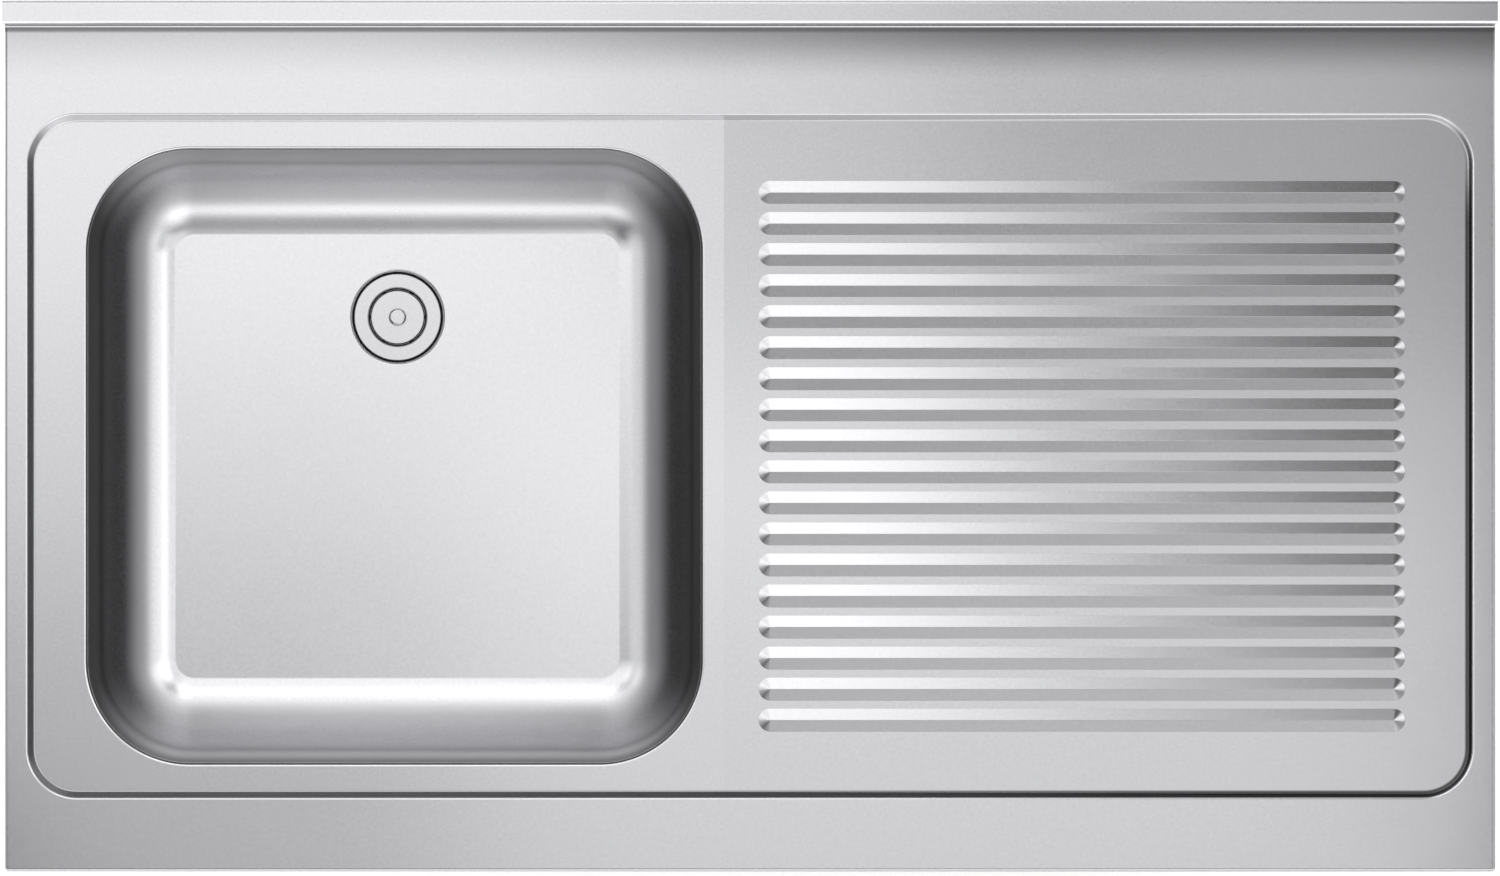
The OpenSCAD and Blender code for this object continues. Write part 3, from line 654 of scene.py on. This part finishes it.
def rubber(name, colour):
    """Moulded rubber, dull, with fine specks and some dust."""
    material, f = finish(name)
    speck = f.noise(0.8, 3, 0.7)
    dust = f.noise(25, 3, 0.6)
    f.surface({
        "Base Color": f.mix(dust, tone(colour, 0.8), tone(colour, 1.5)),
        "Roughness": 0.62 + (dust - 0.5) * 0.15,
        "Specular IOR Level": 0.35,
        "Normal": f.bump(speck, 0.02),
    })
    return material


def pressed_board(name, colour):
    """Board of pressed chips: pale and dark flakes that lie flat."""
    material, f = finish(name)
    flakes = f.node(
        "ShaderNodeTexVoronoi", {"feature": "F1"},
        {"Vector": f.place((1, 0.45, 1)), "Scale": 320.0, "Randomness": 1.0}, out=1,
    )
    shade = f.node("ShaderNodeSeparateColor", None, {0: flakes})
    fibre = f.noise(1.2, 4, 0.7)
    f.surface({
        "Base Color": f.mix(shade * 0.7 + fibre * 0.3, tone(colour, 0.62), tone(colour, 1.3)),
        "Roughness": 0.8 + (fibre - 0.5) * 0.15,
        "Normal": f.bump(shade * 0.5 + fibre, 0.06),
    })
    return material


def nylon(name, colour):
    """Moulded nylon with a faintly uneven gloss."""
    material, f = finish(name)
    cloud = f.noise(9, 3, 0.6)
    f.surface({
        "Base Color": f.mix(cloud, tone(colour, 0.93), tone(colour)),
        "Roughness": 0.45 + (cloud - 0.5) * 0.12,
        "Normal": f.bump(f.noise(0.7, 2), 0.008),
    })
    return material


satin = sheet_steel("satin_steel", (0.62, 0.62, 0.634), 0.2)
drawn = bowl_steel("drawn_steel", (0.69, 0.69, 0.705), 0.2)
raw = mill_steel("mill_steel", (0.60, 0.61, 0.63), 0.36)
zinc = bright_metal("zinc_plate", (0.70, 0.71, 0.73), 0.28)
brass = bright_metal("brass", (0.78, 0.60, 0.30), 0.24)
black = rubber("black_rubber", (0.022, 0.022, 0.024))
board = pressed_board("pressed_board", (0.38, 0.26, 0.16))
white = nylon("white_nylon", (0.80, 0.79, 0.76))

MATERIALS = {
    satin: ["upstand_caps", "waste_body", "plug_cap", "plug_knob"],
    raw: ["front_rail", "rear_rail", "cross_channels", "corner_brackets"],
    zinc: ["bracket_bushes", "weld_studs", "stud_washers", "stud_nuts", "earth_washer", "plug_nut"],
    brass: ["earth_stud", "earth_tag", "earth_nuts", "waste_nut"],
    black: ["bowl_floor_pad", "bowl_wall_pads", "waste_gasket", "waste_washer", "plug_bung"],
    board: ["drainer_boards"],
    white: ["waste_slip_ring"],
}


def dressed(piece, material):
    piece.data.materials.clear()
    piece.data.materials.append(material)


for material, names in MATERIALS.items():
    for name in names:
        dressed(nodes[name], material)
for piece, material in ((top_sheet(), satin), (apron_ends(), satin), (bowl(), drawn)):
    dressed(piece, material)


# Studio

# The floor's own light, for the eye and for what shows in metal
FLOOR_GLOW = 0.5
SEEN_BY = ("Is Camera Ray", "Is Glossy Ray", "Is Transmission Ray")
# The floor lies this far below the waste's tail, and reaches this far to each side, in millimetres
FLOOR_GAP, FLOOR_REACH = 0.3, 150000.0
# The room's own level, and that of its lowest part
ROOM, HORIZON = 0.1, 0.35
# Leans between which the room brightens towards the floor, and turns white to the eye
LOW_LEAN, WHITE_LEAN = (80, 88), (76, 84)
# How softly a glow ends at its two sides, and below and above, in degrees
SOFT_SIDE, SOFT_RING = 18, 3
# Glows on the walls: bearing from the right towards the rear, half of the spread, lean from, lean
# to, and level
GLOWS = [
    (18, 14, 27, 43, 1.65),
    (0, 29, 43, 56, 1.0),
    (180, 29, 33, 54, 0.85),
    (90, 72, 46, 56, 1.3),
    (90, 60, 56, 90, 0.15),
    (315, 29, 33, 62, 0.6),
    (270, 30, 20, 42, 0.35),
    (270, 30, 42, 50, 1.0),
    (270, 35, 50, 62, 1.9),
    (270, 45, 62, 90, 1.1),
    (45, 25, 58, 95, 0.45),
    (135, 25, 58, 95, 0.45),
    (225, 25, 58, 95, 0.45),
    (315, 25, 62, 95, 0.45),
]
# Lamps over the sink top, in metres: left, right, front and rear edges, and level. They overlap and
# add up, each a little above the one before.
LAMP_Z, LAMP_GAP = 1.6, 0.01
SOFTBOXES = [
    ("main_lamp", -0.65, 0.68, -0.55, 0.75, 0.62),
    ("far_left_lamp", -1.3, -0.65, -0.3, 0.75, 0.62),
    ("left_lamp", -1.3, 0.16, -0.1, 1.5, 0.33),
    ("rear_left_lamp", -1.3, -0.12, 0.1, 1.5, 0.3),
    ("front_right_lamp", -0.25, 0.66, -0.55, 0.05, 0.35),
    ("rear_lamp_1", -0.15, 0.15, 0.8, 1.75, 0.75),
    ("rear_lamp_2", -0.9, 0.3, 0.8, 1.75, 0.5),
    ("rear_lamp_3", -0.9, 0.42, 0.8, 1.75, 0.4),
    ("rear_lamp_4", -0.2, 0.5, 0.55, 0.9, 0.3),
    ("front_lamp", -0.1, 1.0, -1.6, -1.1, 0.3),
]


def floor():
    """A plain pale floor, white to the eye, which keeps the sink top's shadow."""
    skin = Skin()
    z = cad_box[0][2] / MM - FLOOR_GAP
    far = FLOOR_REACH
    skin.face(skin.row([(-far, -far, z), (far, -far, z), (far, far, z), (-far, far, z)]))
    bmesh.ops.scale(skin.mesh, vec=(MM, MM, MM), verts=skin.mesh.verts)
    mesh = bpy.data.meshes.new("floor")
    skin.mesh.to_mesh(mesh)
    skin.mesh.free()
    ground = bpy.data.objects.new("floor", mesh)
    bpy.context.scene.collection.objects.link(ground)
    material, f = finish("pale_floor")
    f.surface({
        "Base Color": f.mix(f.noise(400, 2), (0.83, 0.83, 0.83, 1), (0.86, 0.86, 0.86, 1)),
        "Roughness": 0.9,
        "Specular IOR Level": 0.1,
        "Emission Color": f.mix(f.seen(), (0, 0, 0, 1), (1, 1, 1, 1)),
        "Emission Strength": FLOOR_GLOW,
    })
    dressed(ground, material)


def softbox(name, height, left, right, front, back, level):
    """A flat lamp of an even brightness that hangs level over the sink top, hidden from the camera."""
    lamp = bpy.data.lights.new(name, "AREA")
    lamp.shape = "RECTANGLE"
    lamp.size = right - left
    lamp.size_y = back - front
    lamp.energy = level * math.pi * lamp.size * lamp.size_y
    holder = bpy.data.objects.new(name, lamp)
    holder.location = ((left + right) / 2, (front + back) / 2, height)
    holder.visible_camera = False
    bpy.context.scene.collection.objects.link(holder)


def studio_world():
    """A dim room with soft glows on its walls, white along the floor.

    The lean is from straight up, in degrees."""
    world = bpy.data.worlds.new("studio")
    world.use_nodes = True
    f = Finish(world.node_tree)
    x, y, z = f.parts(f.node("ShaderNodeTexCoord"))
    lean = f.sums("ARCCOSINE", z) * (180 / math.pi)
    flat = f.sums("MAXIMUM", f.sums("SQRT", x * x + y * y), 0.001)
    level = ROOM + (HORIZON - ROOM) * f.between(lean, *LOW_LEAN)
    for bearing, spread, low, high, glow in GLOWS:
        a = math.radians(bearing)
        along = (x * math.cos(a) + y * math.sin(a)) / flat
        near, far = (math.cos(math.radians(spread + side)) for side in (-SOFT_SIDE, SOFT_SIDE))
        begun, ended = (f.between(lean, end - SOFT_RING, end + SOFT_RING) for end in (low, high))
        level += glow * (begun - ended) * f.between(along, far, near)
    level += (1.0 - level) * f.seen() * f.between(lean, *WHITE_LEAN)
    shade = f.node("ShaderNodeCombineColor", None, {0: level, 1: level, 2: level})
    ground = f.node("ShaderNodeBackground", None, {"Color": shade, "Strength": 1.0})
    f.node("ShaderNodeOutputWorld", None, {"Surface": ground})
    bpy.context.scene.world = world


# The camera's lens and sensor, what it sees of the deck from side to side, and where it stands from
# front to rear, all in millimetres
LENS, SENSOR, VIEW_W, VIEW_Y = 800.0, 36.0, 1207.8, -1.0


def camera():
    """A camera high over the sink top that looks straight down."""
    eye = bpy.data.cameras.new("camera")
    eye.lens = LENS
    eye.sensor_width = SENSOR
    eye.clip_start = 1.0
    eye.clip_end = 300.0
    holder = bpy.data.objects.new("camera", eye)
    holder.location = (0, VIEW_Y * MM, (DECK_Z + VIEW_W * LENS / SENSOR) * MM)
    bpy.context.scene.collection.objects.link(holder)
    bpy.context.scene.camera = holder


floor()
studio_world()
for i, (name, *sides_and_level) in enumerate(SOFTBOXES):
    softbox(name, LAMP_Z + i * LAMP_GAP, *sides_and_level)
camera()
bpy.context.scene.view_settings.view_transform = "Standard"
